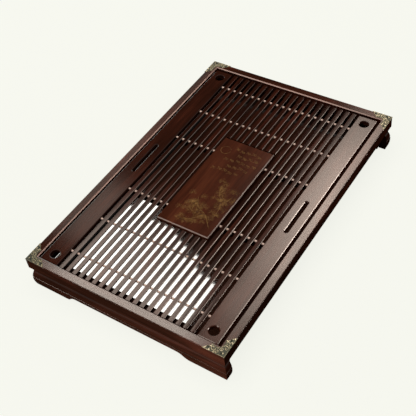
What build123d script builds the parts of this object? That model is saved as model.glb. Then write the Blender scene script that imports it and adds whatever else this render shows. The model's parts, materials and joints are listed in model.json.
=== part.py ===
# Gongfu tea tray: a mitred hardwood frame on bracket feet, a lift-off slatted grille with a plaque
# set in it, and a water tray that slides out under the right-hand rail.
# X runs across the tray, Y along it and Z up. The origin is on the floor, under the middle.

from build123d import *

import os
from math import radians, tan

# Overall size of the wooden frame
width = 330.0
length = 500.0
height = 58.0

# Moulding of the four rails, from the top edge down
rail_thickness = 12.6
inner_bevel = 1.3
edge_round = 0.9
fascia_height = 19.5
waist_inset = 3.5
bulge_radius = 43.0
bulge_height = 13.0
groove_height = 17.5
groove_width = 1.6
groove_depth = 0.9

# Feet: the short boards are scrolled between them, the long rails stop high above the floor
foot_length = 60.0
scroll_length = 19.0
scroll_rise = 12.0
scroll_toe = 0.35
scroll_crown = 0.4
scroll_lift = 0.1
long_rail_depth = 28.0
foot_return = 14.0
return_round = 3.0

# Loose tongues in the mitres and glue blocks in the feet
tongue_thickness = 3.0
tongue_width = 9.0
tongue_height = 11.0
tongue_inset = 7.4
tongue_depth = 4.75
glue_block_size = 8.6
glue_block_lift = 2.0

# Grille
grille_drop = 4.0
grille_thickness = 6.0
slat_width = 6.6
slat_count = 20
slat_lip = 1.3
slat_keel = 1.6
slat_chamfer = 0.45
grille_play_left = 0.9
grille_play_right = 6.1
grille_play_end = 1.9
plank_width = 30.4
plank_chamfer = 0.7
hole_diameter = 15.0
hole_chamfer = 0.9
hole_end_distance = 15.5
slot_length = 67.0
slot_width = 6.0

# Dowel rows: two under the plaque and two nearer each end. The bamboo is shaved to eight flats.
dowel_diameter = 3.2
dowel_flat_count = 8
dowel_clearance = 0.08
dowel_depth = 2.9
dowel_end = 12.0
inner_row = 64.3
outer_row_end_distance = 33.0

# Plaque, in the place of the middle slats
plaque_slats = 8
plaque_length = 190.0
plaque_side_gap = 4.9
plaque_end_gap = 3.0
plaque_proud = 2.0
plaque_chamfer = 1.2

# Ledges and bearers that carry the grille
side_ledge_width = 10.0
side_ledge_height = 9.0
end_ledge_width = 12.0
bearer_width = 5.0
bearer_height = 7.0
bearer_housing = 5.0

# Water tray and its runners
tray_rail_gap = 1.5
tray_rim_thickness = 1.8
tray_rim_width = 6.2
tray_wall = 1.6
tray_depth = 24.0
tray_draft = 5.0
tray_foot = 4.0
tray_corner = 14.0
tray_slack = 0.3
runner_width = 9.0
runner_height = 10.0
runner_stop = 2.6
pull_length = 120.0
pull_reach = 8.0
pull_lip = 4.0
pull_corner = 6.0

# Corner mounts of pierced brass and their pins
mount_thickness = 1.0
mount_overhang = 0.5
mount_leg = 34.0
mount_margin = 0.3
mount_tip_hollow = (3.4, 2.6)
mount_neck = 5.2
mount_neck_hollow = (8.5, 7.4)
mount_ear = 10.5
mount_bay = 9.8
leaf_start = 10.5
leaf_end = 19.5
leaf_middle = 3.6
leaf_swell = 1.3
leg_pin_place = (25.8, 4.4)
corner_pin_place = (6.6, 3.4)
pin_diameter = 1.2
pin_flat_count = 8
pin_length = 6.0
pin_head_diameter = 2.2
pin_head_height = 0.5
pin_clearance = 0.05

# Heights and spans that follow from the sizes above
opening_x = width - 2 * rail_thickness
opening_y = length - 2 * rail_thickness
grille_top = height - grille_drop
grille_bottom = grille_top - grille_thickness
dowel_z = grille_top - dowel_depth
grille_width = opening_x - grille_play_left - grille_play_right
grille_length = opening_y - 2 * grille_play_end
grille_x = (grille_play_left - grille_play_right) / 2
plank_inner = grille_width / 2 - plank_width
plank_x = plank_inner + plank_width / 2
slat_pitch = (2 * plank_inner + slat_width) / (slat_count + 1)
slat_gap = slat_pitch - slat_width
hole_y = grille_length / 2 - hole_end_distance
outer_row = grille_length / 2 - outer_row_end_distance
rows = [outer_row, (outer_row + inner_row) / 2, inner_row]
row_y = rows + [-y for y in reversed(rows)]
plaque_width = plaque_slats * slat_pitch + slat_gap - 2 * plaque_side_gap
long_rail_bottom = height - long_rail_depth
side_ledge_bottom = grille_bottom - side_ledge_height
tray_top = long_rail_bottom - tray_rail_gap
runner_top = tray_top - tray_rim_thickness - tray_slack
end_ledge_bottom = tray_top + 2 * tray_slack
runner_y = opening_y / 2 - runner_width / 2

mount_width = rail_thickness - inner_bevel - mount_margin + mount_overhang

os.makedirs("parts", exist_ok=True)


def finish(piece, name):
    """Label a finished piece and write it as its own file."""
    piece.part.label = name
    export_step(piece.part, f"parts/{name}.step")


def bulge_inset(z):
    """How far the round belly of the lower moulding lies behind the outer face at height z."""
    return bulge_radius - (bulge_radius**2 - (z - bulge_height) ** 2) ** 0.5


# Section of the moulding: X runs inwards from the outer face, Y is the height
waist_bottom = bulge_height + (bulge_radius**2 - (bulge_radius - waist_inset) ** 2) ** 0.5
groove_top = groove_height + groove_width / 2
groove_bottom = groove_height - groove_width / 2
belly_high = (groove_top + waist_bottom) / 2

with BuildSketch() as rail_section:
    with BuildLine():
        Polyline(
            (bulge_inset(0), 0),
            (rail_thickness, 0),
            (rail_thickness, height - inner_bevel),
            (rail_thickness - inner_bevel, height),
            (0, height),
            (0, height - fascia_height),
            (waist_inset, height - fascia_height),
            (waist_inset, waist_bottom),
        )
        ThreePointArc(
            (waist_inset, waist_bottom),
            (bulge_inset(belly_high), belly_high),
            (bulge_inset(groove_top), groove_top),
        )
        Polyline(
            (bulge_inset(groove_top), groove_top),
            (bulge_inset(groove_height) + groove_depth, groove_height),
            (bulge_inset(groove_bottom), groove_bottom),
        )
        ThreePointArc(
            (bulge_inset(groove_bottom), groove_bottom),
            (bulge_inset(groove_bottom / 2), groove_bottom / 2),
            (bulge_inset(0), 0),
        )
    make_face()
    fascia_corners = rail_section.vertices().filter_by_position(Axis.Y, waist_bottom, height)
    fillet(fascia_corners.group_by(Axis.X)[0], radius=edge_round)

corners = [(sx, sy) for sx in (-1, 1) for sy in (-1, 1)]

# Places of the mount pins, measured from each corner: one in each leg and one by the corner
pin_places = [leg_pin_place, leg_pin_place[::-1], corner_pin_place]
pin_points = [(sx * (width / 2 - a), sy * (length / 2 - b)) for sx, sy in corners for a, b in pin_places]

# Places of the mitre tongues: one in each corner, square across the mitre
tongue_x = width / 2 - tongue_inset
tongue_y = length / 2 - tongue_inset
tongue_z = height - tongue_depth - tongue_height / 2
tongue_places = [
    Location((sx * tongue_x, sy * tongue_y, tongue_z), (0, 0, -45 * sx * sy)) for sx, sy in corners
]

# Each rail: its name, the direction it runs in, its span, and the span across the frame from it.
# Inwards is to the left of that direction.
short_boards = ("rail_front", "rail_back")
rail_sides = [
    ("rail_front", Vector(1, 0, 0), width, length),
    ("rail_back", Vector(-1, 0, 0), width, length),
    ("rail_left", Vector(0, -1, 0), length, width),
    ("rail_right", Vector(0, 1, 0), length, width),
]
up = Vector(0, 0, 1)
mitre_reach = 2 * rail_thickness

for name, run, span, across in rail_sides:
    inwards = up.cross(run)
    outer_middle = inwards * (-across / 2)
    with BuildPart() as rail:
        with BuildSketch(Plane(outer_middle, x_dir=inwards, z_dir=run)):
            add(rail_section.sketch)
        extrude(amount=span / 2, both=True)
        # Mitred ends
        with BuildSketch(Plane(outer_middle, x_dir=run, z_dir=up)):
            with BuildLine():
                Polyline(
                    (-span / 2, 0),
                    (span / 2, 0),
                    (span / 2 - mitre_reach, mitre_reach),
                    (-span / 2 + mitre_reach, mitre_reach),
                    close=True,
                )
            make_face()
        extrude(amount=height, mode=Mode.INTERSECT)
        # Lower edge: an ogee scroll between the feet of a short board, a plain cut under a long rail
        with BuildSketch(Plane(outer_middle, x_dir=run, z_dir=-inwards)):
            with BuildLine() as lower_edge:
                if name in short_boards:
                    foot_end = span / 2 - foot_length
                    scroll_end = foot_end - scroll_length
                    Polyline((0, 0), (foot_end, 0))
                    Bezier(
                        (foot_end, 0),
                        (foot_end - scroll_length * scroll_toe, scroll_rise * scroll_lift),
                        (foot_end - scroll_length * scroll_crown, scroll_rise),
                        (scroll_end, scroll_rise),
                    )
                    Line((scroll_end, scroll_rise), (0, scroll_rise))
                else:
                    cut_end = span / 2 - foot_return
                    Line((0, 0), (cut_end, 0))
                    FilletPolyline(
                        (cut_end, 0), (cut_end, long_rail_bottom), (0, long_rail_bottom), radius=return_round
                    )
                mirror(lower_edge.line, Plane.YZ)
            make_face()
        extrude(amount=-mitre_reach, mode=Mode.SUBTRACT)
        # Sockets for the loose tongues and holes for the mount pins
        with Locations(*tongue_places):
            Box(tongue_width, tongue_thickness, tongue_height, mode=Mode.SUBTRACT)
        with BuildSketch(Plane.XY.offset(height)):
            with Locations(*pin_points):
                RegularPolygon(pin_diameter / 2 + pin_clearance, pin_flat_count)
        extrude(amount=mount_thickness - pin_length, mode=Mode.SUBTRACT)
    finish(rail, name)

with BuildPart() as mitre_tongues:
    with Locations(*tongue_places):
        Box(tongue_width, tongue_thickness, tongue_height)
finish(mitre_tongues, "mitre_tongues")

with BuildPart() as glue_blocks:
    with BuildSketch(Plane.XY.offset(glue_block_lift)):
        with GridLocations(opening_x - glue_block_size, opening_y - glue_block_size, 2, 2):
            Rectangle(glue_block_size, glue_block_size)
    extrude(amount=runner_top - runner_height - glue_block_lift)
finish(glue_blocks, "glue_blocks")

bearer_span = opening_x - 2 * (side_ledge_width - bearer_housing)

for name, side in (("side_ledge_left", -1), ("side_ledge_right", 1)):
    with BuildPart() as side_ledge:
        with BuildSketch(Plane.XY.offset(side_ledge_bottom)):
            with Locations((side * (opening_x - side_ledge_width) / 2, 0)):
                Rectangle(side_ledge_width, opening_y)
        extrude(amount=side_ledge_height)
        # Housings for the ends of the bearers
        with BuildSketch(Plane.XY.offset(grille_bottom)):
            with Locations((0, -inner_row), (0, inner_row)):
                Rectangle(bearer_span, bearer_width)
        extrude(amount=-bearer_height, mode=Mode.SUBTRACT)
    finish(side_ledge, name)

for name, side in (("end_ledge_front", -1), ("end_ledge_back", 1)):
    with BuildPart() as end_ledge:
        with BuildSketch(Plane.XY.offset(end_ledge_bottom)):
            with Locations((0, side * (opening_y - end_ledge_width) / 2)):
                Rectangle(opening_x - 2 * side_ledge_width, end_ledge_width)
        extrude(amount=grille_bottom - end_ledge_bottom)
    finish(end_ledge, name)

for name, side in (("bearer_front", -1), ("bearer_back", 1)):
    with BuildPart() as bearer:
        with BuildSketch(Plane.XY.offset(grille_bottom)):
            with Locations((0, side * inner_row)):
                Rectangle(bearer_span, bearer_width)
        extrude(amount=-bearer_height)
    finish(bearer, name)

for name, side in (("tray_runner_front", -1), ("tray_runner_back", 1)):
    with BuildPart() as runner:
        with BuildSketch(Plane.XY.offset(runner_top)):
            with Locations((0, side * runner_y)):
                Rectangle(opening_x, runner_width)
        extrude(amount=-runner_height)
        # Stop for the tray's rim at the closed end
        with BuildSketch(Plane.XY.offset(runner_top)):
            with Locations((-opening_x / 2 + runner_stop / 2, side * runner_y)):
                Rectangle(runner_stop, runner_width)
        extrude(amount=end_ledge_bottom - runner_top)
    finish(runner, name)

# Corner mounts. Each outline starts at the outer corner, runs out along one leg and is mirrored onto
# the other, and the plane's axes turn with the corner.
mount_names = {(-1, -1): "front_left", (1, -1): "front_right", (-1, 1): "back_left", (1, 1): "back_right"}

for (sx, sy), place in mount_names.items():
    corner = Vector(sx * (width / 2 + mount_overhang), sy * (length / 2 + mount_overhang), height)
    along = Vector(-sx, 0, 0) if sx == sy else Vector(0, -sy, 0)
    mount_plane = Plane(corner, x_dir=along, z_dir=up)
    neck = (mount_leg - mount_neck, mount_width / 2)
    ear = (mount_leg - mount_ear, mount_width)
    cusp = (mount_width, mount_width)
    with BuildPart() as mount:
        with BuildSketch(mount_plane):
            with BuildLine() as half_outline:
                Line((0, 0), (mount_leg, 0))
                ThreePointArc((mount_leg, 0), (mount_leg - mount_tip_hollow[0], mount_tip_hollow[1]), neck)
                ThreePointArc(neck, (mount_leg - mount_neck_hollow[0], mount_neck_hollow[1]), ear)
                ThreePointArc(ear, ((ear[0] + cusp[0]) / 2, mount_bay), cusp)
                mirror(half_outline.line, Plane((0, 0, 0), z_dir=(1, -1, 0)))
            make_face()
            # A leaf-shaped piercing in each leg
            with BuildLine() as leaves:
                leaf_centre = (leaf_start + leaf_end) / 2
                stalk = (leaf_start, leaf_middle)
                tip = (leaf_end, leaf_middle)
                ThreePointArc(stalk, (leaf_centre, leaf_middle + leaf_swell), tip)
                ThreePointArc(tip, (leaf_centre, leaf_middle - leaf_swell), stalk)
                mirror(leaves.line, Plane((0, 0, 0), z_dir=(1, -1, 0)))
            make_face(mode=Mode.SUBTRACT)
        extrude(amount=mount_thickness)
        with BuildSketch(Plane.XY.offset(height)):
            with Locations(*pin_points):
                RegularPolygon(pin_diameter / 2 + pin_clearance, pin_flat_count)
        extrude(amount=mount_thickness, mode=Mode.SUBTRACT)
    finish(mount, f"corner_mount_{place}")

with BuildPart() as mount_pins:
    with BuildSketch(Plane.XY.offset(height + mount_thickness)):
        with Locations(*pin_points):
            RegularPolygon(pin_diameter / 2, pin_flat_count)
    extrude(amount=-pin_length)
    with BuildSketch(Plane.XY.offset(height + mount_thickness)):
        with Locations(*pin_points):
            RegularPolygon(pin_head_diameter / 2, pin_flat_count)
    extrude(amount=pin_head_height)
finish(mount_pins, "mount_pins")

# Section of a slat: a flat top with chamfered edges, and sides that taper to a narrow keel, so that
# water runs to the lowest edge and drips clear
with BuildSketch() as slat_section:
    with BuildLine():
        Polyline(
            (-slat_width / 2, 0),
            (slat_width / 2, 0),
            (slat_width / 2, -slat_lip),
            (slat_keel / 2, -grille_thickness),
            (-slat_keel / 2, -grille_thickness),
            (-slat_width / 2, -slat_lip),
            close=True,
        )
    make_face()
    chamfer(slat_section.vertices().group_by(Axis.Y)[-1], length=slat_chamfer)


def slat(x, y_low, y_high):
    """A slat at x, from y_low to y_high, drilled for every dowel row that it crosses."""
    crossed = [y for y in row_y if y_low < y < y_high]
    with BuildPart() as piece:
        with BuildSketch(Plane((grille_x + x, y_low, grille_top), x_dir=(-1, 0, 0), z_dir=(0, 1, 0))):
            add(slat_section.sketch)
        extrude(amount=y_high - y_low)
        with BuildSketch(Plane.YZ.offset(grille_x + x - slat_width / 2)):
            with Locations(*[(y, dowel_z) for y in crossed]):
                RegularPolygon(dowel_diameter / 2 + dowel_clearance, dowel_flat_count)
        extrude(amount=slat_width, mode=Mode.SUBTRACT)
    return piece


slat_x = [(i - (slat_count - 1) / 2) * slat_pitch for i in range(slat_count)]
side_count = (slat_count - plaque_slats) // 2
grille_end = grille_length / 2
plaque_end = plaque_length / 2 + plaque_end_gap

for i, x in enumerate(slat_x[:side_count]):
    finish(slat(x, -grille_end, grille_end), f"long_slat_left_{i + 1}")

for i, x in enumerate(slat_x[-side_count:]):
    finish(slat(x, -grille_end, grille_end), f"long_slat_right_{i + 1}")

for i, x in enumerate(slat_x[side_count:-side_count]):
    finish(slat(x, -grille_end, -plaque_end), f"short_slat_front_{i + 1}")
    finish(slat(x, plaque_end, grille_end), f"short_slat_back_{i + 1}")

for name, side in (("plank_left", -1), ("plank_right", 1)):
    middle_x = grille_x + side * plank_x
    inner_face = grille_x + side * plank_inner
    with BuildPart() as plank:
        with BuildSketch(Plane.XY.offset(grille_bottom)):
            with Locations((middle_x, 0)):
                Rectangle(plank_width, grille_length)
        extrude(amount=grille_thickness)
        chamfer(plank.faces().sort_by(Axis.Z)[-1].edges(), length=plank_chamfer)
        # Finger holes and slot, with eased rims
        with BuildSketch(Plane.XY.offset(grille_top)):
            with Locations((middle_x, -hole_y), (middle_x, hole_y)):
                Circle(hole_diameter / 2)
            with Locations((middle_x, 0)):
                SlotOverall(slot_length, slot_width, rotation=90)
        extrude(amount=-grille_thickness, mode=Mode.SUBTRACT)
        rims = plank.faces().sort_by(Axis.Z)[-1].inner_wires()
        chamfer([edge for rim in rims for edge in rim.edges()], length=hole_chamfer)
        # Blind holes for the ends of the dowels
        with BuildSketch(Plane.YZ.offset(inner_face)):
            with Locations(*[(y, dowel_z) for y in row_y]):
                RegularPolygon(dowel_diameter / 2 + dowel_clearance, dowel_flat_count)
        extrude(amount=side * dowel_end, mode=Mode.SUBTRACT)
    finish(plank, name)

for row, y in zip("abcdef", row_y):
    with BuildPart() as dowel:
        with BuildSketch(Plane.YZ.offset(grille_x)):
            with Locations((y, dowel_z)):
                RegularPolygon(dowel_diameter / 2, dowel_flat_count)
        extrude(amount=plank_inner + dowel_end - dowel_clearance, both=True)
    finish(dowel, f"dowel_row_{row}")

with BuildPart() as plaque:
    with BuildSketch(Plane.XY.offset(grille_bottom)):
        with Locations((grille_x, 0)):
            Rectangle(plaque_width, plaque_length)
    extrude(amount=grille_thickness + plaque_proud)
    chamfer(plaque.faces().sort_by(Axis.Z)[-1].edges(), length=plaque_chamfer)
    with BuildSketch(Plane.YZ.offset(grille_x - plaque_width / 2)):
        with Locations((-inner_row, dowel_z), (inner_row, dowel_z)):
            RegularPolygon(dowel_diameter / 2 + dowel_clearance, dowel_flat_count)
    extrude(amount=plaque_width, mode=Mode.SUBTRACT)
finish(plaque, "plaque")

tray_left = -opening_x / 2 + runner_stop + tray_slack
tray_right = opening_x / 2 - runner_stop
rim_y = opening_y / 2 - runner_width + tray_rim_width
body_y = opening_y / 2 - runner_width - tray_slack * 2
body_x = (tray_right - tray_left) / 2 - tray_wall
tray_x = (tray_left + tray_right) / 2
basin_x = 2 * (body_x - tray_wall)
basin_y = 2 * (body_y - tray_wall)

# Levels of the basin, outside and inside: how deep below the rim's top, and how far its wall has
# come in there by its draft and by the slant at the foot of the wall
draft = tan(radians(tray_draft))
foot_depth = tray_depth - tray_foot
outer_levels = [(0, 0), (foot_depth, foot_depth * draft), (tray_depth, foot_depth * draft + tray_foot)]
inner_levels = [
    (0, tray_wall),
    (foot_depth - tray_wall / 2, tray_wall + foot_depth * draft),
    (tray_depth - tray_wall, tray_wall + foot_depth * draft + tray_foot - tray_wall / 2),
]

with BuildPart() as water_tray:
    for depth, inset in outer_levels:
        with BuildSketch(Plane.XY.offset(tray_top - depth)):
            with Locations((tray_x, 0)):
                RectangleRounded(2 * (body_x - inset), 2 * (body_y - inset), tray_corner - inset)
    loft(ruled=True)
    for depth, inset in inner_levels:
        with BuildSketch(Plane.XY.offset(tray_top - depth)):
            with Locations((tray_x, 0)):
                RectangleRounded(2 * (body_x - inset), 2 * (body_y - inset), tray_corner - inset)
    loft(ruled=True, mode=Mode.SUBTRACT)
    # Rim all round, with a pull at the open end that turns down for the fingers
    with BuildSketch(Plane.XY.offset(tray_top)):
        with Locations((tray_x, 0)):
            RectangleRounded(tray_right - tray_left, 2 * rim_y, tray_corner)
        with Locations((tray_right, 0)):
            RectangleRounded(2 * pull_reach, pull_length, pull_corner)
        with Locations((tray_x, 0)):
            RectangleRounded(basin_x, basin_y, tray_corner - tray_wall, mode=Mode.SUBTRACT)
    extrude(amount=-tray_rim_thickness)
    with BuildSketch(Plane.XY.offset(tray_top)):
        with Locations((tray_right + pull_reach - tray_rim_thickness / 2, 0)):
            Rectangle(tray_rim_thickness, pull_length - 2 * pull_corner)
    extrude(amount=-pull_lip)
finish(water_tray, "water_tray")
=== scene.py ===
import json
import math

import bpy
import numpy as np
from mathutils import Matrix, Vector

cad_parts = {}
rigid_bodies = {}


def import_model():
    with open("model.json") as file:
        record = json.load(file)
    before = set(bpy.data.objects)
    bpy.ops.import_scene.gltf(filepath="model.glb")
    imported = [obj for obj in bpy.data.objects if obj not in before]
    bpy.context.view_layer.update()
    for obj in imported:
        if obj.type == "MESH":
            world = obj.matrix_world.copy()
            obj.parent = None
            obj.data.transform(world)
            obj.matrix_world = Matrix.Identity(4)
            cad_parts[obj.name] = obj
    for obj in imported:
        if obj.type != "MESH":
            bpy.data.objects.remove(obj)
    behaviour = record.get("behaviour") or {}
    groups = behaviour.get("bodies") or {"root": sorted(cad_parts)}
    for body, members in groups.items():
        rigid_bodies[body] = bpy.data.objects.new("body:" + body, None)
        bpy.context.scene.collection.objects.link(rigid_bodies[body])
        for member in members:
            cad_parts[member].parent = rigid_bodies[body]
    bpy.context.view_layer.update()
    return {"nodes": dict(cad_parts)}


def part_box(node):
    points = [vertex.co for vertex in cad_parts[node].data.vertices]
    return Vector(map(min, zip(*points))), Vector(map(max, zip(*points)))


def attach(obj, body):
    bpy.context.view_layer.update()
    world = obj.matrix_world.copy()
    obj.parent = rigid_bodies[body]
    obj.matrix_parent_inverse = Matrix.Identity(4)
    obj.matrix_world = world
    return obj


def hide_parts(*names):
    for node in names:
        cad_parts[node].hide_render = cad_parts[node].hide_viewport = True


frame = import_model()
nodes = frame["nodes"]
mm = 0.001
print("frame loaded:", len(nodes), "nodes")

firstSlat, nextSlat = (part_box("long_slat_left_" + number) for number in "12")
slats = {  # how the slats stand across the grille, in metres
    "middle": (firstSlat[0].x + firstSlat[1].x) / 2,
    "half": (firstSlat[1].x - firstSlat[0].x) / 2,
    "pitch": nextSlat[0].x - firstSlat[0].x,
}


def linear(hexText):  # sRGB hex to linear colour
    parts = [int(hexText[i:i + 2], 16) / 255 for i in (1, 3, 5)]
    return tuple(c / 12.92 if c <= 0.04045 else ((c + 0.055) / 1.055) ** 2.4 for c in parts) + (1.0,)


# Settings go to the socket of that name or number, else to the node. Stops are a ramp's places and colours.
def addNode(tree, kind, settings=None, links=None, stops=None):
    node = tree.nodes.new(kind)
    sockets = node.inputs
    for index, (place, colour) in enumerate((stops or {}).items()):
        elements = node.color_ramp.elements
        element = elements[index] if index < 2 else elements.new(place)
        element.position = place
        element.color = linear(colour)
    for name, value in (settings or {}).items():
        if isinstance(name, int) or name in sockets:
            sockets[name].default_value = value
        else:
            setattr(node, name, value)
    for name, source in (links or {}).items():
        tree.links.new(source, sockets[name])
    return node


def newMaterial(name):
    material = bpy.data.materials.new(name)
    material.use_nodes = True
    material.node_tree.nodes.clear()
    return material, material.node_tree


# Lacquered hardwood: dark rosewood under rubbed-down clear lacquer. The lacquer is the only glossy surface,
# and the wood has no gloss of its own. Flat tops are polished and mirror the lamps. The moulded sides are
# only rubbed, and a painted shade darkens them, so they show a near black red-brown with short red streaks.
frameWood = {
    "tones": {0.0: "#26110a", 0.4: "#351a10", 0.7: "#482217", 1.0: "#592c1e"},
    "streakMm": 1.6, "streakLengthMm": 60, "streakDetail": 5.0,  # 0.2 mm pores, drawn coarse enough to show
    "cloudMm": 30, "cloudLengthMm": 140, "cloudDetail": 2.0, "cloudShare": 0.55,
    "noiseRoughness": 0.6, "noiseDistortion": 0.4,
    "toneSpan": (0.34, 0.66), "roughSpan": (0.3, 0.7),  # noise values that stand for the first and last tone
    "roughness": (0.49, 0.61), "specular": 0.0, "ior": 1.45, "poreDepthMm": 0.004,
    "coatTop": 1.0, "coatSide": 0.0, "coatFacing": (0.3, 0.6), "coatRoughness": 0.14, "coatIor": 1.5,
    # paintedSideShade is painted shade: the share of its colour that an upright side keeps
    "paintedSideShade": 0.47, "paintedShadeFacing": (0.6, 0.95),  # facing: 0 for an upright face and 1 for a level one
}
grilleWood = dict(  # blackwood under the same lacquer: darker than the frame, and even all round
    frameWood, tones={0.0: "#1d0d08", 0.4: "#2f160e", 0.75: "#3e1d13", 1.0: "#4a2418"}, paintedSideShade=1.0,
)
slatWood = dict(  # blackwood, hand planed and thinly lacquered: near black, its gloss fading to the sides
    grilleWood, tones={0.0: "#130705", 0.4: "#200e08", 0.75: "#2f140c", 1.0: "#3b1a10"},
    coatTop=0.55, crownMm=0.035,
)
plaqueWood = dict(  # padauk, rubbed down and lacquered: redder, with coarser streaks and a softer gloss
    frameWood, tones={0.0: "#2e140b", 0.4: "#3b1c11", 0.7: "#482417", 1.0: "#532d1c"},
    streakMm=2.4, coatTop=0.8, coatRoughness=0.15, paintedSideShade=1.0,
)
carcassWood = dict(  # plain hardwood, sawn and oiled, out of sight: dull and nearly black
    frameWood, tones={0.0: "#150a07", 0.5: "#22110c", 1.0: "#301a12"}, coatTop=0.0,
)


def woodMaterial(name, look, along):  # along is the grain's axis, 0 for X and 1 for Y
    material, tree = newMaterial(name)
    place = addNode(tree, "ShaderNodeTexCoord").outputs["Object"]
    patterns = []
    for pattern in ("streak", "cloud"):
        scale = [1 / (look[pattern + "Mm"] * mm)] * 3
        scale[along] = 1 / (look[pattern + "LengthMm"] * mm)
        stretched = addNode(tree, "ShaderNodeMapping", {"Scale": scale}, {"Vector": place})
        noise = addNode(
            tree, "ShaderNodeTexNoise",
            {"Scale": 1.0, "Detail": look[pattern + "Detail"], "Roughness": look["noiseRoughness"],
             "Distortion": look["noiseDistortion"]},
            {"Vector": stretched.outputs[0]},
        )
        patterns.append(noise.outputs["Fac"])
    streaks, clouds = patterns
    tone = addNode(
        tree, "ShaderNodeMix", {"data_type": "FLOAT", 0: look["cloudShare"]}, {2: streaks, 3: clouds}
    )
    low, high = look["toneSpan"]
    spread = addNode(
        tree, "ShaderNodeMapRange", {"From Min": low, "From Max": high}, {"Value": tone.outputs[0]}
    )
    colour = addNode(tree, "ShaderNodeValToRGB", {}, {0: spread.outputs[0]}, look["tones"]).outputs[0]
    low, high = look["roughSpan"]
    rough = addNode(
        tree, "ShaderNodeMapRange",
        {"From Min": low, "From Max": high, "To Min": look["roughness"][0], "To Max": look["roughness"][1]},
        {"Value": streaks},
    )
    pores = addNode(
        tree, "ShaderNodeBump", {"Strength": 1.0, "Distance": look["poreDepthMm"] * mm}, {"Height": streaks}
    )
    normal = addNode(tree, "ShaderNodeNewGeometry").outputs["Normal"]
    facing = addNode(tree, "ShaderNodeSeparateXYZ", {}, {0: normal}).outputs["Z"]
    # painted shade: upright faces keep only part of their colour, standing in for the shade that falls on
    # the sides
    if look["paintedSideShade"] < 1:
        low, high = look["paintedShadeFacing"]
        paintedDarkening = addNode(
            tree, "ShaderNodeMapRange",
            {"From Min": low, "From Max": high, "To Min": look["paintedSideShade"], "To Max": 1.0},
            {"Value": facing},
        ).outputs[0]
        colour = addNode(
            tree, "ShaderNodeVectorMath", {"operation": "SCALE"}, {"Vector": colour, "Scale": paintedDarkening}
        ).outputs[0]
    links = {"Base Color": colour, "Roughness": rough.outputs[0], "Normal": pores.outputs[0]}
    if look["coatTop"] > 0:
        low, high = look["coatFacing"]
        links["Coat Weight"] = addNode(
            tree, "ShaderNodeMapRange",
            {"From Min": low, "From Max": high, "To Min": look["coatSide"], "To Max": look["coatTop"]},
            {"Value": facing},
        ).outputs[0]
    if "crownMm" in look:  # the top falls away by the square of the distance from a slat's middle
        across = addNode(tree, "ShaderNodeSeparateXYZ", {}, {0: place}).outputs["X"]
        for operation, value in (
            ("SUBTRACT", slats["middle"]), ("PINGPONG", slats["pitch"] / 2), ("DIVIDE", slats["half"]),
            ("POWER", 2.0), ("MULTIPLY", -1.0),
        ):
            step = addNode(tree, "ShaderNodeMath", {"operation": operation, 1: value}, {0: across})
            across = step.outputs[0]
        links["Coat Normal"] = addNode(
            tree, "ShaderNodeBump", {"Strength": 1.0, "Distance": look["crownMm"] * mm}, {"Height": across}
        ).outputs[0]
    shader = addNode(
        tree, "ShaderNodeBsdfPrincipled",
        {"IOR": look["ior"], "Specular IOR Level": look["specular"], "Coat Roughness": look["coatRoughness"],
         "Coat IOR": look["coatIor"]},
        links,
    )
    addNode(tree, "ShaderNodeOutputMaterial", {}, {0: shader.outputs[0]})
    return material


# Cast brass, chemically aged: a grey-green oxide that hardly shines in the hollows, rubbed through to pale
# gold metal on the high spots. The relief attribute is 0 in the ground, as on the pins, which have none, and
# 1 on the top of a scroll. On the mounts it is scaled by factors that also hold painted light.
agedBrass = {
    "tones": {0.0: "#14150f", 0.26: "#484b40", 0.6: "#a0977a", 1.0: "#f4e8cc"},
    "patinaMm": 1.2, "patinaDetail": 4.0, "patinaShare": 0.18,
    "roughness": (0.6, 0.32), "metallic": (0.15, 0.75),  # in the ground and on a scroll
}


def brassMaterial(name, look):
    material, tree = newMaterial(name)
    place = addNode(tree, "ShaderNodeTexCoord").outputs["Object"]
    relief = addNode(tree, "ShaderNodeAttribute", {"attribute_name": "relief"}).outputs["Fac"]
    patina = addNode(
        tree, "ShaderNodeTexNoise", {"Scale": 1 / (look["patinaMm"] * mm), "Detail": look["patinaDetail"]},
        {"Vector": place},
    ).outputs["Fac"]
    wornAndLit = addNode(
        tree, "ShaderNodeMix", {"data_type": "FLOAT", 0: look["patinaShare"]}, {2: relief, 3: patina}
    ).outputs[0]
    colour = addNode(tree, "ShaderNodeValToRGB", {}, {0: wornAndLit}, look["tones"])
    roughness, metallic = (
        addNode(
            tree, "ShaderNodeMapRange", {"To Min": look[key][0], "To Max": look[key][1]}, {"Value": wornAndLit}
        ).outputs[0]
        for key in ("roughness", "metallic")
    )
    shader = addNode(
        tree, "ShaderNodeBsdfPrincipled", {},
        {"Base Color": colour.outputs[0], "Roughness": roughness, "Metallic": metallic},
    )
    addNode(tree, "ShaderNodeOutputMaterial", {}, {0: shader.outputs[0]})
    return material


# Gilt line work, painted in shell gold over a size and rubbed thin: a dull olive gold that darkens where
# the wood shows through it.
shellGold = {
    "tones": {0.0: "#4d2f12", 0.45: "#7b5829", 1.0: "#a27c45"},
    "rubMm": 3.0, "rubDetail": 3.0, "rubSpan": (0.35, 0.65), "roughness": 0.5, "metallic": 0.25,
}


def giltMaterial(name, look):
    material, tree = newMaterial(name)
    place = addNode(tree, "ShaderNodeTexCoord").outputs["Object"]
    rub = addNode(
        tree, "ShaderNodeTexNoise", {"Scale": 1 / (look["rubMm"] * mm), "Detail": look["rubDetail"]},
        {"Vector": place},
    ).outputs["Fac"]
    low, high = look["rubSpan"]
    spread = addNode(tree, "ShaderNodeMapRange", {"From Min": low, "From Max": high}, {"Value": rub})
    colour = addNode(tree, "ShaderNodeValToRGB", {}, {0: spread.outputs[0]}, look["tones"])
    shader = addNode(
        tree, "ShaderNodeBsdfPrincipled", {"Roughness": look["roughness"], "Metallic": look["metallic"]},
        {"Base Color": colour.outputs[0]},
    )
    addNode(tree, "ShaderNodeOutputMaterial", {}, {0: shader.outputs[0]})
    return material
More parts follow.
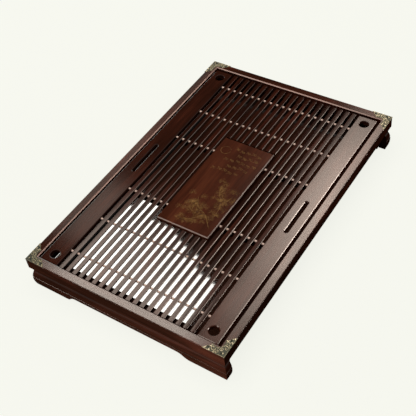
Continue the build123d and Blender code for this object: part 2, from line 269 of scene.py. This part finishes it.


# Split bamboo, scraped and left bare: pale cream with darker fibre lines along the rod, and a painted shade
# that darkens it to brown where it goes into a slat, so that each gap shows a short light bead.
splitBamboo = {
    "tones": {0.0: "#b89284", 0.5: "#e6cabc", 1.0: "#f6e6de"}, "roughness": 0.45, "ior": 1.5,
    "fibreMm": 0.5, "fibreLengthMm": 18, "fibreDetail": 3.0,  # 0.2 mm fibres, drawn coarse enough to show
    # paintedRodShade is painted shade: the rod's colour next to a slat, for the slats' shadow on it
    "paintedRodShade": "#5b3524", "paintedRodShadeMm": (1.0, 2.3),  # from a gap's middle, none to full
}


def bambooMaterial(name, look):
    material, tree = newMaterial(name)
    place = addNode(tree, "ShaderNodeTexCoord").outputs["Object"]
    scale = [1 / (look[key] * mm) for key in ("fibreLengthMm", "fibreMm", "fibreMm")]
    stretched = addNode(tree, "ShaderNodeMapping", {"Scale": scale}, {"Vector": place})
    fibres = addNode(
        tree, "ShaderNodeTexNoise", {"Scale": 1.0, "Detail": look["fibreDetail"]},
        {"Vector": stretched.outputs[0]},
    ).outputs["Fac"]
    bare = addNode(tree, "ShaderNodeValToRGB", {}, {0: fibres}, look["tones"])
    across = addNode(tree, "ShaderNodeSeparateXYZ", {}, {0: place}).outputs["X"]
    firstGap = slats["middle"] - slats["pitch"] / 2
    shifted = addNode(tree, "ShaderNodeMath", {"operation": "SUBTRACT", 1: firstGap}, {0: across})
    fromGap = addNode(
        tree, "ShaderNodeMath", {"operation": "PINGPONG", 1: slats["pitch"] / 2}, {0: shifted.outputs[0]}
    )
    near, far = (distance * mm for distance in look["paintedRodShadeMm"])
    # painted shade: the rod darkens from a gap's middle towards each slat
    paintedRodShadeShare = addNode(
        tree, "ShaderNodeMapRange", {"From Min": near, "From Max": far}, {"Value": fromGap.outputs[0]}
    )
    colour = addNode(
        tree, "ShaderNodeMix", {"data_type": "RGBA", 7: linear(look["paintedRodShade"])},
        {0: paintedRodShadeShare.outputs[0], 6: bare.outputs[0]},
    )
    shader = addNode(
        tree, "ShaderNodeBsdfPrincipled", {"Roughness": look["roughness"], "IOR": look["ior"]},
        {"Base Color": colour.outputs[2]},
    )
    addNode(tree, "ShaderNodeOutputMaterial", {}, {0: shader.outputs[0]})
    return material


# Injection-moulded dark brown ABS off a polished tool: nearly a mirror at a glance, with a faint ripple.
mouldedPlastic = {
    "colour": "#2c170f", "roughness": 0.035, "ior": 1.53,
    "rippleMm": 9.0, "rippleDetail": 2.0, "rippleDepthMm": 0.001,
}


def plasticMaterial(name, look):
    material, tree = newMaterial(name)
    place = addNode(tree, "ShaderNodeTexCoord").outputs["Object"]
    ripple = addNode(
        tree, "ShaderNodeTexNoise", {"Scale": 1 / (look["rippleMm"] * mm), "Detail": look["rippleDetail"]},
        {"Vector": place},
    )
    bump = addNode(
        tree, "ShaderNodeBump", {"Strength": 1.0, "Distance": look["rippleDepthMm"] * mm},
        {"Height": ripple.outputs["Fac"]},
    )
    shader = addNode(
        tree, "ShaderNodeBsdfPrincipled",
        {"Base Color": linear(look["colour"]), "Roughness": look["roughness"], "IOR": look["ior"]},
        {"Normal": bump.outputs[0]},
    )
    addNode(tree, "ShaderNodeOutputMaterial", {}, {0: shader.outputs[0]})
    return material


woodAlongX = woodMaterial(  # lengths below 0 run the pattern the other way
    "rosewoodLacqueredAlongX", dict(frameWood, streakLengthMm=-60, cloudLengthMm=-140), 0,
)
# the long rails' sides get a deeper painted shade
woodAlongY = woodMaterial("rosewoodLacqueredAlongY", dict(frameWood, paintedSideShade=0.36), 1)
grilleAlongY = woodMaterial("blackwoodLacqueredAlongY", grilleWood, 1)
slatAlongY = woodMaterial("blackwoodThinLacquerAlongY", slatWood, 1)
plaqueAlongY = woodMaterial("padaukLacqueredAlongY", plaqueWood, 1)
carcassAlongX = woodMaterial("hardwoodOiledAlongX", carcassWood, 0)
carcassAlongY = woodMaterial("hardwoodOiledAlongY", carcassWood, 1)
brassAged = brassMaterial("brassCastAged", agedBrass)
bambooBare = bambooMaterial("bambooSplitBare", splitBamboo)
giltRubbed = giltMaterial("shellGoldRubbed", shellGold)
plasticBrown = plasticMaterial("absMouldedBrown", mouldedPlastic)

finishes = {  # what a node's name starts with, and its material
    "rail_front": woodAlongX, "rail_back": woodAlongX, "rail_left": woodAlongY, "rail_right": woodAlongY,
    "side_ledge": carcassAlongY, "end_ledge": carcassAlongX, "bearer": carcassAlongX,
    "tray_runner": carcassAlongX, "mitre_tongues": carcassAlongX, "glue_blocks": carcassAlongX,
    "plank": grilleAlongY, "long_slat": slatAlongY, "short_slat": slatAlongY, "plaque": plaqueAlongY,
    "dowel_row": bambooBare, "corner_mount": brassAged, "mount_pins": brassAged, "water_tray": plasticBrown,
}
for name, node in nodes.items():
    stem = next(start for start in finishes if name.startswith(start))
    node.data.materials.clear()
    node.data.materials.append(finishes[stem])
print("materials on the frame's nodes")


def newPiece(name, points, faces, material, body):  # a mesh piece that rides on a body
    mesh = bpy.data.meshes.new(name)
    mesh.from_pydata(points.tolist(), [], faces.tolist())
    mesh.polygons.foreach_set("use_smooth", np.ones(len(mesh.polygons), bool))
    mesh.materials.append(material)
    mesh.update()
    piece = bpy.data.objects.new(name, mesh)
    bpy.context.scene.collection.objects.link(piece)
    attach(piece, body)
    return piece


def gridFaces(rows, columns, closed=False):  # quads of a grid of rows x columns points, row by row
    r, c = np.meshgrid(np.arange(rows - 1), np.arange(columns if closed else columns - 1), indexing="ij")
    right = (c + 1) % columns
    quads = [r * columns + c, r * columns + right, (r + 1) * columns + right, (r + 1) * columns + c]
    return np.stack(quads, axis=-1).reshape(-1, 4)


# Bamboo rods: a circle carried along X, whose radius follows a quarter circle in to a small flat end.
rods = {"rows": "abcdef", "sides": 20, "endRoundMm": 0.5, "endSteps": 4}


def makeRod(row):
    low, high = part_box("dowel_row_" + row)
    radius = (high.z - low.z) / 2
    middle = (low + high) / 2
    ease = rods["endRoundMm"] * mm
    t = np.linspace(0, math.pi / 2, rods["endSteps"])
    start = low.x + ease * (1 - np.sin(t))
    inwards = radius - ease * (1 - np.cos(t))
    x = np.concatenate([[low.x], start[::-1], high.x + low.x - start, [high.x]])
    r = np.concatenate([[0], inwards[::-1], inwards, [0]])
    angle = np.linspace(0, 2 * math.pi, rods["sides"], endpoint=False)
    points = np.stack([
        np.repeat(x[:, None], rods["sides"], 1),
        middle.y + r[:, None] * np.cos(angle),
        middle.z + r[:, None] * np.sin(angle),
    ], axis=-1).reshape(-1, 3)
    faces = gridFaces(len(x), rods["sides"], closed=True)[:, ::-1]
    piece = newPiece("bambooRod_" + row, points, faces, bambooBare, "grille")
    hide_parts("dowel_row_" + row)


for row in rods["rows"]:
    makeRod(row)
print("bamboo rods")

# Corner mounts of cast brass. Half of a mount is a ruled surface from its outer edge to a cusped inner edge,
# and the other half is the same with the two legs swapped. On its ground stand scrolls, round ridges along
# spirals, and a low bell-shaped rim. Lengths are in mm from the outer corner.
mount = {
    "leg": 34.0, "along": 130, "across": 34, "arcPoints": 40,
    "edge": [((11.5, 11.5), (17.5, 9.8), (23.5, 11.5)), ((23.5, 11.5), (25.5, 7.4), (28.8, 5.75)),
             ((28.8, 5.75), (30.6, 2.6), (34.0, 0.0))],
    "scrolls": [  # x, y, radius, turns, hand and first angle of a spiral
        (19.8, 6.4, 3.9, 1.25, 1, 2.6), (12.8, 4.4, 3.1, 1.15, -1, 0.4), (9.4, 9.2, 2.4, 1.0, 1, 4.0),
        (29.6, 2.0, 1.7, 0.9, -1, 2.2), (16.4, 1.9, 1.6, 0.9, 1, 3.6), (24.2, 8.6, 1.8, 0.9, -1, 5.0),
        (4.6, 4.9, 2.2, 1.0, 1, 0.8), (22.8, 1.8, 1.5, 0.9, -1, 1.2), (14.4, 9.0, 2.0, 0.9, 1, 1.0),
    ],
    "base": 0.35, "rise": 0.7, "scrollHalfWidth": 0.5, "rimIn": 0.45, "rimHalfWidth": 0.32, "rimShare": 0.5,
    "edgeRound": 0.35, "edgeShare": 0.45,  # share of the height left at the very edge
    "legPin": (25.8, 4.4), "cornerPin": (6.6, 3.4), "pinSeat": 1.5, "pinFade": 0.5,
    # gold factors at the corner, along a leg and at its end: wear of the high spots, and painted light that
    # rises from the front left mount to the back right one
    "wearAndLight": {  # at the corner, along a leg, at its end
        "front_left": (0.6, 0.53, 0.82), "front_right": (1.0, 0.72, 1.4), "back_left": (0.8, 0.62, 0.95),
        "back_right": (1.2, 0.92, 1.65),
    },
    "wearAt": (7, 12, 20, 26), "groundWear": 0.12,
}


def arcThrough(a, b, c, count):  # points along the circle through three points
    a, b, c = np.array(a), np.array(b), np.array(c)
    m = np.array([b - a, c - b]) * 2
    centre = np.linalg.solve(m, [b @ b - a @ a, c @ c - b @ b])
    angles = np.unwrap([math.atan2(*(q - centre)[::-1]) for q in (a, b, c)])
    t = np.linspace(angles[0], angles[2], count)
    return centre + np.linalg.norm(a - centre) * np.stack([np.cos(t), np.sin(t)], axis=-1)


def evenly(path, count):  # the same path with evenly spaced points
    reach = np.concatenate([[0], np.cumsum(np.linalg.norm(np.diff(path, axis=0), axis=1))])
    t = np.linspace(0, reach[-1], count)
    return np.stack([np.interp(t, reach, path[:, k]) for k in (0, 1)], axis=-1)


# The radius shrinks by that share of itself, evenly as the angle grows.
def spiral(a, b, radius, turns, hand, phase, count=60, shrink=0.86):
    t = np.linspace(0, 1, count)
    angle = phase + hand * t * turns * 2 * math.pi
    r = radius * (1 - shrink * t)
    return np.stack([a + r * np.cos(angle), b + r * np.sin(angle)], axis=-1)


def nearest(points, targets):  # distance from each point to the closest target
    return np.sqrt(((points[:, None, :] - targets[None]) ** 2).sum(-1).min(1))


def makeMount(place, sideX, sideY):
    arcs = [arcThrough(*arc, mount["arcPoints"]) for arc in mount["edge"]]
    cusped = evenly(np.concatenate(arcs), mount["along"])
    straight = np.stack([np.linspace(0, mount["leg"], mount["along"]), np.zeros(mount["along"])], axis=-1)
    v = np.linspace(0, 1, mount["across"])
    half = straight[:, None] + (cusped - straight)[:, None] * v[None, :, None]
    swapped = half[:0:-1, :, ::-1]
    flat = np.concatenate([swapped, half]).reshape(-1, 2)
    folded = np.stack([flat.max(1), flat.min(1)], axis=-1)  # both halves read as the first
    fromRim = np.minimum(folded[:, 1], nearest(folded, cusped))
    ridges = nearest(folded, np.concatenate([spiral(*s) for s in mount["scrolls"]]))
    scrolls = np.sqrt(np.clip(1 - (ridges / mount["scrollHalfWidth"]) ** 2, 0, 1))
    rim = np.exp(-(((fromRim - mount["rimIn"]) / mount["rimHalfWidth"]) ** 2))
    pins = np.array([mount["legPin"], mount["legPin"][::-1], mount["cornerPin"]])
    aroundPins = np.clip((nearest(flat, pins) - mount["pinSeat"]) / mount["pinFade"], 0, 1)
    shown = np.maximum(scrolls, mount["rimShare"] * rim) * aroundPins
    rounded = np.clip(mount["edgeShare"] + fromRim / mount["edgeRound"], 0, 1)
    height = (mount["base"] + mount["rise"] * shown) * rounded
    rows = 2 * mount["along"] - 1
    low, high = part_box("corner_mount_" + place)
    outer = Vector((low.x if sideX < 0 else high.x, low.y if sideY < 0 else high.y))
    top = np.stack([
        outer.x - sideX * flat[:, 0] * mm, outer.y - sideY * flat[:, 1] * mm, low.z + height * mm
    ], axis=-1).reshape(rows, mount["across"], 3)
    under = top[:, [-1, 0]].copy()
    under[:, :, 2] = low.z
    points = np.concatenate([top, under], axis=1)
    faces = gridFaces(rows, mount["across"] + 2, closed=True)
    if sideX * sideY < 0:
        faces = faces[:, ::-1]
    piece = newPiece("brassMount_" + place, points.reshape(-1, 3), faces, brassAged, "frame")
    # the gold is scaled by this mount's wear and painted light
    corner, leg, end = mount["wearAndLight"][place]
    wearAndLight = np.interp(folded[:, 0], mount["wearAt"], (corner, leg, leg, end))
    gold = (wearAndLight * (mount["groundWear"] + shown)).reshape(rows, mount["across"])
    values = np.concatenate([gold, np.zeros((rows, 2))], axis=1)
    layer = piece.data.attributes.new("relief", "FLOAT", "POINT")
    layer.data.foreach_set("value", values.ravel())
    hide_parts("corner_mount_" + place)


for place, sideX, sideY in (
    ("front_left", -1, -1), ("front_right", 1, -1), ("back_left", -1, 1), ("back_right", 1, 1)
):
    makeMount(place, sideX, sideY)
print("brass corner mounts")

# Gilt line work on the plaque: pine boughs with wheels of needles, a moon and bands of curled cloud. A
# stroke is a flat lens carried along its path and drawn out to nothing at both ends. Lengths are in mm from
# the plaque's middle.
gilt = {
    "proud": 0.1, "sink": 0.4, "margin": 2.5, "seed": 5,  # a stroke's sides sink by that share of its height
    "boughs": [  # full width, wheels of needles, and the corners of the path
        (1.5, 22, ((35, -79), (28, -71), (16, -58), (4, -54), (-6, -46), (-12, -32))),
        (1.0, 12, ((16, -58), (8, -70), (-2, -78), (-13, -80))),
        (1.0, 20, ((28, -71), (31, -50), (26, -30), (12, -14), (6, 4))),
        (0.8, 10, ((4, -54), (-8, -60), (-19, -61))),
        (0.8, 8, ((26, -30), (32, -22), (34, -8))),
    ],
    "boughPoints": 40, "boughSwell": (0.35, math.pi, 0.6), "wheelsFrom": 9, "wheelSpread": 5.5,
    "needles": 13, "fanStart": (-0.4, 0.3), "fanSweep": math.pi + 0.9, "needleFrom": 0.12,
    "needleLength": 9.0, "needleVaries": (0.8, 1.1), "endNeedle": 0.72,  # the fan's end needles are shorter
    "needleWidth": 0.46, "needleShape": (0.35, 1, 0.9, 0.6, 0.08),
    "cloudBands": [(-10, 78, 5), (0, 66, 4), (-16, 54, 6), (-4, 42, 4), (-24, 30, 5)],  # left, y, curls
    "cloudPitch": 9.5, "cloudWave": (1.6, 1.9),  # height of the wave, and its angle from curl to curl
    "cloudTail": ((-5.5, -2.6), (0, 2.4)), "tailPoints": 12,
    "bigCurl": (0, 0, 2.4, 1.2, -1, math.pi / 2), "bigCurlPoints": 36,  # numbers as for the mounts' scrolls
    "smallCurl": (-3.6, 2.0, 1.6, 1.0, 1, -0.4),
    "moon": (-28, 70, 8.0), "moonArc": (0.4, 2 * math.pi + 0.2),
    "linePoints": 44, "lineWidth": 0.75, "lineSwell": (0.12, math.pi - 0.12, 0.5),
}


def smoothPath(corners, count, rounds=4):  # each round cuts every corner off at a quarter of its two sides
    path = np.array(corners, float)
    for _ in range(rounds):
        inner = np.stack([path[:-1] * 0.75 + path[1:] * 0.25, path[:-1] * 0.25 + path[1:] * 0.75], axis=1)
        path = np.concatenate([path[:1], inner.reshape(-1, 2), path[-1:]])
    return evenly(path, count)


def swell(start, end, power, count):  # a stroke's width: a sine from start to end, raised to a power
    return np.sin(np.linspace(start, end, count)) ** power


def strokeMesh(paths, widths):  # paths (n, k, 2) and full widths (n, k) to points and quads
    n, k = widths.shape
    along = np.gradient(paths, axis=1)
    along /= np.linalg.norm(along, axis=-1, keepdims=True)
    side = np.stack([along[..., 1], -along[..., 0]], axis=-1) * widths[..., None] / 2
    lift = gilt["proud"] * widths / widths.max()
    sides = -gilt["sink"] * lift
    flat = np.stack([paths + side, paths, paths - side, paths], axis=2)
    height = np.stack([sides, lift, sides, -lift], axis=2)
    points = np.concatenate([flat, height[..., None]], axis=-1).reshape(-1, 3)
    one = gridFaces(k, 4, closed=True)
    faces = (one[None] + (np.arange(n) * 4 * k)[:, None, None]).reshape(-1, 4)
    return points, faces


def pineStrokes():  # boughs, and needles that fan out round points scattered along them
    rng = np.random.default_rng(gilt["seed"])
    count = gilt["boughPoints"]
    strokes, centres, starts = [], [], []
    for width, wheels, corners in gilt["boughs"]:
        path = smoothPath(corners, count)
        strokes.append((path[None], width * swell(*gilt["boughSwell"], count)[None]))
        places = np.linspace(gilt["wheelsFrom"], count - 1, wheels).astype(int)
        centres.append(path[places] + rng.normal(0, gilt["wheelSpread"], (wheels, 2)))
        starts.append(rng.uniform(*gilt["fanStart"], wheels))
    centres = np.concatenate(centres)
    starts = np.concatenate(starts)
    fan = np.linspace(0, 1, gilt["needles"])
    angle = starts[:, None] + fan * gilt["fanSweep"]
    fanLength = gilt["needleLength"] * (gilt["endNeedle"] + (1 - gilt["endNeedle"]) * np.sin(fan * math.pi))
    length = fanLength * rng.uniform(*gilt["needleVaries"], (len(centres), 1))
    way = np.stack([np.cos(angle), np.sin(angle)], axis=-1)
    t = np.linspace(gilt["needleFrom"], 1, len(gilt["needleShape"]))
    needles = centres[:, None, None] + way[:, :, None] * (length[..., None] * t)[..., None]
    needles = needles.reshape(-1, len(t), 2)
    slim = np.tile(np.array(gilt["needleShape"]) * gilt["needleWidth"], (len(needles), 1))
    return strokes + [(needles, slim)]


def cloudStrokes():  # bands of curls, each with a tail under the next, and the moon
    count = gilt["linePoints"]
    lines = []
    wave, waveTurn = gilt["cloudWave"]
    for left, y, curls in gilt["cloudBands"]:
        for i in range(curls):
            middle = np.array([left + i * gilt["cloudPitch"], y + wave * math.sin(waveTurn * i + y)])
            tail = np.linspace(*gilt["cloudTail"], gilt["tailPoints"])
            curl = spiral(*gilt["bigCurl"], gilt["bigCurlPoints"])
            lines.append(evenly(np.concatenate([tail, curl]), count) + middle)
            lines.append(spiral(*gilt["smallCurl"], count) + middle)
    x, y, radius = gilt["moon"]
    ring = np.linspace(*gilt["moonArc"], count)
    lines.append(np.stack([x + radius * np.cos(ring), y + radius * np.sin(ring)], axis=-1))
    widths = gilt["lineWidth"] * swell(*gilt["lineSwell"], count)
    return [(np.array(lines), np.tile(widths, (len(lines), 1)))]


def makeGilt():
    low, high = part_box("plaque")
    reach = np.array([high.x - low.x, high.y - low.y]) / 2 / mm - gilt["margin"]
    allPoints, allFaces, count = [], [], 0
    for paths, widths in pineStrokes() + cloudStrokes():
        inside = (np.abs(paths) < reach).all(axis=(1, 2))  # no stroke may run past the plaque's margin
        points, faces = strokeMesh(paths[inside], widths[inside])
        allPoints.append(points)
        allFaces.append(faces + count)
        count += len(points)
    points = np.concatenate(allPoints) * mm + np.array([(low.x + high.x) / 2, (low.y + high.y) / 2, high.z])
    newPiece("giltLineWork", points, np.concatenate(allFaces), giltRubbed, "grille")


makeGilt()
print("gilt line work")

# Camera: a normal lens above the front right corner, rolled a little.
view = {
    "placeMm": (507.0, -669.2, 909.2), "aimMm": (9.5, -44.7, 54.0), "rollDeg": -8.0, "lensMm": 69.6,
    "sensorMm": 36.0,
}


def makeCamera():
    data = bpy.data.cameras.new("camera")
    data.lens = view["lensMm"]
    data.sensor_width = view["sensorMm"]
    camera = bpy.data.objects.new("camera", data)
    bpy.context.scene.collection.objects.link(camera)
    place = Vector(view["placeMm"]) * mm
    aim = Vector(view["aimMm"]) * mm
    turn = (aim - place).to_track_quat("-Z", "Y").to_matrix()
    roll = Matrix.Rotation(math.radians(view["rollDeg"]), 3, "Z")
    camera.matrix_world = Matrix.Translation(place) @ (turn @ roll).to_4x4()
    bpy.context.scene.camera = camera


makeCamera()

# Studio: a pale sweep and flagged lamps. A lamp has a radiance, and either a place and size in metres or a
# patch of the tray, x0, x1, y0, y1 in mm, in which the camera sees it mirrored: "over" for a level lamp and
# the tops, "edge" for an upright lamp on the right and the edges bevelled towards it. "only" names the
# pieces that a lamp lights, which alone shade it. A lamp with "mirrored" off doesn't show in gloss.
sweep = {"halfWidth": 12.0, "tone": "#fefff7", "paper": "#dcddd8", "roughness": 0.9, "litShare": 0.14}
lampRig = {
    "height": 1.5, "right": 1.43,  # of the level and the upright lamps
    "mirrorMm": 55.0,  # height of what mirrors them
    "aim": (0, 0, 0.05), "tone": "#ffebdb",
}
tops = ["rail_right", "plank", "plaque", "gilt", "bambooRod", "brassMount", "mount_pins"]
lamps = {
    "overheadBox": {
        "at": (-0.3, -0.15, 2.6), "size": (2.2, 2.2), "radiance": 3.2, "tone": "#fffaf4", "flat": True,
        "mirrored": False,
    },
    "sheenWhole": {"over": (112, 172, -250, 244), "radiance": 2.2, "only": tops + ["rail_back"]},
    "sheenBehind": {"over": (112, 172, -190, 244), "radiance": 2.1, "only": tops},
    "sheenMiddle": {"over": (112, 172, -110, 244), "radiance": 2.2, "only": tops + ["rail_back"]},
    "sheenCore": {"over": (112, 172, -20, 135), "radiance": 1.8, "only": tops},
    "sheenEdge": {"over": (70, 112, -60, 244), "radiance": 1.4, "only": tops},
    "railRightBox": {"over": (148, 174, -125, 60), "radiance": 4.6, "only": ["rail_right"]},
    "railRightEdge": {"over": (182, 290, -190, 230), "radiance": 7.0, "only": ["rail_right"]},
    "plankRightEdge": {"over": (146, 175, -70, 150), "radiance": 3.5, "only": ["plank_right"]},
    "railRightFront": {"over": (148, 174, -250, -125), "radiance": 1.6, "only": ["rail_right"]},
    "railLeftFront": {"over": (-174, -148, -190, 50), "radiance": 3.2, "only": ["rail_left"]},
    "railLeftBack": {"over": (-174, -148, 50, 250), "radiance": 1.7, "only": ["rail_left"]},
    "railFrontBox": {
        "over": (-112, 118, -268, -224), "radiance": 8.0, "tone": "#fff1e4", "only": ["rail_front"],
    },
    "railFrontWide": {
        "over": (-150, 165, -268, -224), "radiance": 4.2, "tone": "#fff1e4", "only": ["rail_front"],
    },
    "plankLeftBox": {"over": (-170, -90, -188, -68), "radiance": 1.8, "only": ["plank_left"]},
    "slatFront": {"over": (-140, 100, -270, -192), "radiance": 9.0, "only": ["slat"]},
    "slatLeft": {"over": (-140, -30, -192, -132), "radiance": 7.4, "only": ["slat"]},
    "slatMiddle": {"over": (-30, 30, -192, -132), "radiance": 4.2, "only": ["slat"]},
    "slatRight": {"over": (30, 100, -192, -150), "radiance": 1.8, "only": ["slat"]},
    "slatLeftBehind": {"over": (-140, -60, -132, -70), "radiance": 2.4, "only": ["slat"]},
    "slatMiddleBehind": {"over": (-60, 30, -132, -95), "radiance": 0.5, "only": ["slat"]},
    "slatEdge": {"over": (98, 160, -192, 270), "radiance": 1.5, "only": ["slat"]},
    "slatEdgeBehind": {"over": (100, 165, 10, 210), "radiance": 3.0, "only": ["slat"]},
    "frontBox": {
        "at": (0.34, -0.75, -0.03), "size": (0.5, 0.15), "radiance": 31.0, "tone": "#e0f4ff",
        "only": ["rail_front"],
    },
    "edgeRailLeft": {
        "edge": (-172, -132, -260, 250), "radiance": 17.0, "tone": "#ffd2bd", "only": ["rail_left"],
    },
    "edgeRailRight": {"edge": (146, 178, -260, 250), "radiance": 46.0, "only": ["rail_right"]},
    "edgePlankRight": {"edge": (118, 162, -240, 240), "radiance": 19.0, "only": ["plank_right"]},
    "edgePlankMiddle": {"edge": (128, 162, -90, 130), "radiance": 30.0, "only": ["plank_right"]},
    "edgePlaque": {"edge": (28, 64, -110, 110), "radiance": 14.0, "only": ["plaque"]},
    "edgeSlatsRight": {"edge": (60, 130, -240, 240), "radiance": 22.0, "only": ["slat"]},
    "edgeSlatsFront": {"edge": (55, 130, -240, 90), "radiance": 10.0, "only": ["slat"]},
    "edgeSlatsMiddle": {"edge": (10, 55, -240, 240), "radiance": 8.0, "only": ["slat"]},
    "edgeSlatsLeft": {"edge": (-135, 10, -240, 240), "radiance": 3.8, "only": ["slat"]},
    "edgeSlatsLeftFront": {"edge": (-135, 0, -240, 110), "radiance": 3.8, "only": ["slat"]},
    "windowFront": {
        "at": (-0.88, -1.55, 1.10), "size": (1.2, 0.8), "radiance": 6.0,
        "only": ["plaque", "plank_right", "slat", "brassMount"],
    },
    "arrisFront": {
        "at": (-0.94, -1.83, 0.84), "size": (0.8, 0.3), "radiance": 12.0, "only": ["rail_front"],
    },
    "arrisFrontLeft": {
        "at": (-1.15, -1.83, 0.84), "size": (0.4, 0.3), "radiance": 5.0, "only": ["rail_front"],
    },
    "windowBack": {
        "at": (-0.80, -1.03, 1.41), "size": (0.9, 0.4), "radiance": 10.0, "tone": "#ffd6c4",
        "only": ["rail_back"],
    },
    "mountBox": {
        "at": (-0.8, 1.2, 1.5), "size": (1.2, 1.6), "radiance": 2.9, "tone": "#fff2dc",
        "only": ["brassMount", "mount_pins"],
    },
}
trayStrips = {  # one broken bright shape that only the water tray mirrors: strips side by side, in metres
    "edges": (
        -1.197, -1.163, -1.066, -0.936, -0.904, -0.871, -0.839, -0.806, -0.774, -0.741, -0.676, -0.650,
    ),
    "backs": (0.941, 1.000, 0.918, 0.896, 0.879, 0.865, 0.818, 0.848, 0.795, 0.779, 0.764), "front": 0.50,
    "radiance": 26.0, "tone": "#fffdf6",
    "past": ("slat", "bearer", "bambooRod", "plaque", "gilt", "_left"),  # pieces that gloss looks through
}
for i, back in enumerate(trayStrips["backs"]):
    left, right = trayStrips["edges"][i:i + 2]
    lamps["trayStrip" + str(i + 1)] = {
        "at": ((left + right) / 2, (back + trayStrips["front"]) / 2, lampRig["height"]),
        "size": (right - left, back - trayStrips["front"]), "radiance": trayStrips["radiance"],
        "tone": trayStrips["tone"], "flat": True, "only": ["water_tray"],
    }
world = {  # a dim sky with a round dark flag in it, full to one angle from its middle and gone at the other
    "sky": "#f7f8f0", "strength": 0.3, "dark": "#050505",
    "flagAt": (-0.43, 0.56, 0.71), "flagDeg": (26, 36),
}


def mirroredSpot(x, y):  # where a level lamp must be for the camera to see it mirrored at a spot of the top
    spot = Vector((x, y, lampRig["mirrorMm"])) * mm
    way = spot - Vector(view["placeMm"]) * mm
    reach = (lampRig["height"] - spot.z) / -way.z
    return spot.x + way.x * reach, spot.y + way.y * reach


def mirroredEdge(x, y):  # the same for an upright lamp and an edge bevelled by half a right angle
    spot = Vector((x, y, lampRig["mirrorMm"])) * mm
    way = Vector(view["placeMm"]) * mm - spot
    reach = (lampRig["right"] - spot.x) / way.z
    return spot.y - way.y * reach, spot.z + way.x * reach


def placeLamp(lamp):  # works out the place and size of a lamp that is given by a patch
    if "over" in lamp:
        x0, x1, y0, y1 = lamp["over"]
        left, front = mirroredSpot(x0, y0)
        right, back = mirroredSpot(x1, y1)
        middle = ((left + right) / 2, (front + back) / 2, lampRig["height"])
        return dict(lamp, at=middle, size=(right - left, back - front), flat=True)
    if "edge" in lamp:
        x0, x1, y0, y1 = lamp["edge"]
        front, high = mirroredEdge(x0, y0)
        back, low = mirroredEdge(x1, y1)
        middle = (lampRig["right"], (front + back) / 2, (low + high) / 2)
        return dict(lamp, at=middle, size=(back - front, high - low))
    return lamp


def makeLamp(name, lamp):
    data = bpy.data.lights.new(name, "AREA")
    data.shape = "RECTANGLE"
    data.size, data.size_y = lamp["size"]
    data.energy = lamp["radiance"] * math.pi * data.size * data.size_y
    data.color = linear(lamp.get("tone", lampRig["tone"]))[:3]
    light = bpy.data.objects.new(name, data)
    bpy.context.scene.collection.objects.link(light)
    place = Vector(lamp["at"])
    if "edge" in lamp:
        turn = Matrix(((0, 0, 1), (1, 0, 0), (0, 1, 0)))  # faces left, with its width along Y
    elif lamp.get("flat"):
        turn = Matrix.Identity(3)  # faces straight down
    else:
        turn = (Vector(lampRig["aim"]) - place).to_track_quat("-Z", "Y").to_matrix()
    light.matrix_world = Matrix.Translation(place) @ turn.to_4x4()
    light.visible_glossy = lamp.get("mirrored", True)
    if "only" in lamp:
        lit = bpy.data.collections.new(name + "Lit")
        for piece in bpy.data.objects:
            if piece.type == "MESH" and any(part in piece.name for part in lamp["only"]):
                lit.objects.link(piece)
        light.light_linking.receiver_collection = lit
        light.light_linking.blocker_collection = lit


def makeSweep():  # lit paper, which looks mostly like a plain bright page to the rays that see it
    half = sweep["halfWidth"]
    mesh = bpy.data.meshes.new("sweep")
    corners = [(-half, -half, 0), (half, -half, 0), (half, half, 0), (-half, half, 0)]
    mesh.from_pydata(corners, [], [(0, 1, 2, 3)])
    material, tree = newMaterial("paperSweepMatt")
    rays = addNode(tree, "ShaderNodeLightPath").outputs
    seen = rays["Is Camera Ray"]
    for ray in ("Is Glossy Ray", "Is Transmission Ray"):
        either = addNode(tree, "ShaderNodeMath", {"operation": "MAXIMUM"}, {0: seen, 1: rays[ray]})
        seen = either.outputs[0]
    share = addNode(tree, "ShaderNodeMath", {"operation": "MULTIPLY", 1: 1 - sweep["litShare"]}, {0: seen})
    paper = addNode(
        tree, "ShaderNodeBsdfDiffuse", {"Color": linear(sweep["paper"]), "Roughness": sweep["roughness"]}
    )
    page = addNode(tree, "ShaderNodeEmission", {"Color": linear(sweep["tone"]), "Strength": 1.0})
    both = addNode(
        tree, "ShaderNodeMixShader", {}, {0: share.outputs[0], 1: paper.outputs[0], 2: page.outputs[0]}
    )
    addNode(tree, "ShaderNodeOutputMaterial", {}, {0: both.outputs[0]})
    mesh.materials.append(material)
    floor = bpy.data.objects.new("sweep", mesh)
    bpy.context.scene.collection.objects.link(floor)


def makeWorld():
    sky = bpy.data.worlds.new("studio")
    sky.use_nodes = True
    tree = sky.node_tree
    tree.nodes.clear()
    direction = addNode(tree, "ShaderNodeTexCoord").outputs["Generated"]
    facing = addNode(
        tree, "ShaderNodeVectorMath", {"operation": "DOT_PRODUCT", 1: Vector(world["flagAt"]).normalized()},
        {0: direction},
    ).outputs["Value"]
    inner, outer = (math.cos(math.radians(angle)) for angle in world["flagDeg"])
    flag = addNode(tree, "ShaderNodeMapRange", {"From Min": outer, "From Max": inner}, {"Value": facing})
    tone = addNode(
        tree, "ShaderNodeMix", {"data_type": "RGBA", 6: linear(world["sky"]), 7: linear(world["dark"])},
        {0: flag.outputs[0]},
    )
    lit = addNode(tree, "ShaderNodeBackground", {"Strength": world["strength"]}, {"Color": tone.outputs[2]})
    page = addNode(tree, "ShaderNodeBackground", {"Color": linear(world["sky"]), "Strength": 1.0})
    camera = addNode(tree, "ShaderNodeLightPath").outputs["Is Camera Ray"]
    both = addNode(tree, "ShaderNodeMixShader", {}, {0: camera, 1: lit.outputs[0], 2: page.outputs[0]})
    addNode(tree, "ShaderNodeOutputWorld", {}, {"Surface": both.outputs[0]})
    bpy.context.scene.world = sky


for piece in bpy.data.objects:  # so that the water tray mirrors its strips past the grille
    if any(part in piece.name for part in trayStrips["past"]):
        piece.visible_glossy = False
makeSweep()
makeWorld()
for name, lamp in lamps.items():
    makeLamp(name, placeLamp(lamp))
bpy.context.scene.view_settings.view_transform = "Standard"
print("camera, sweep, world and lamps")
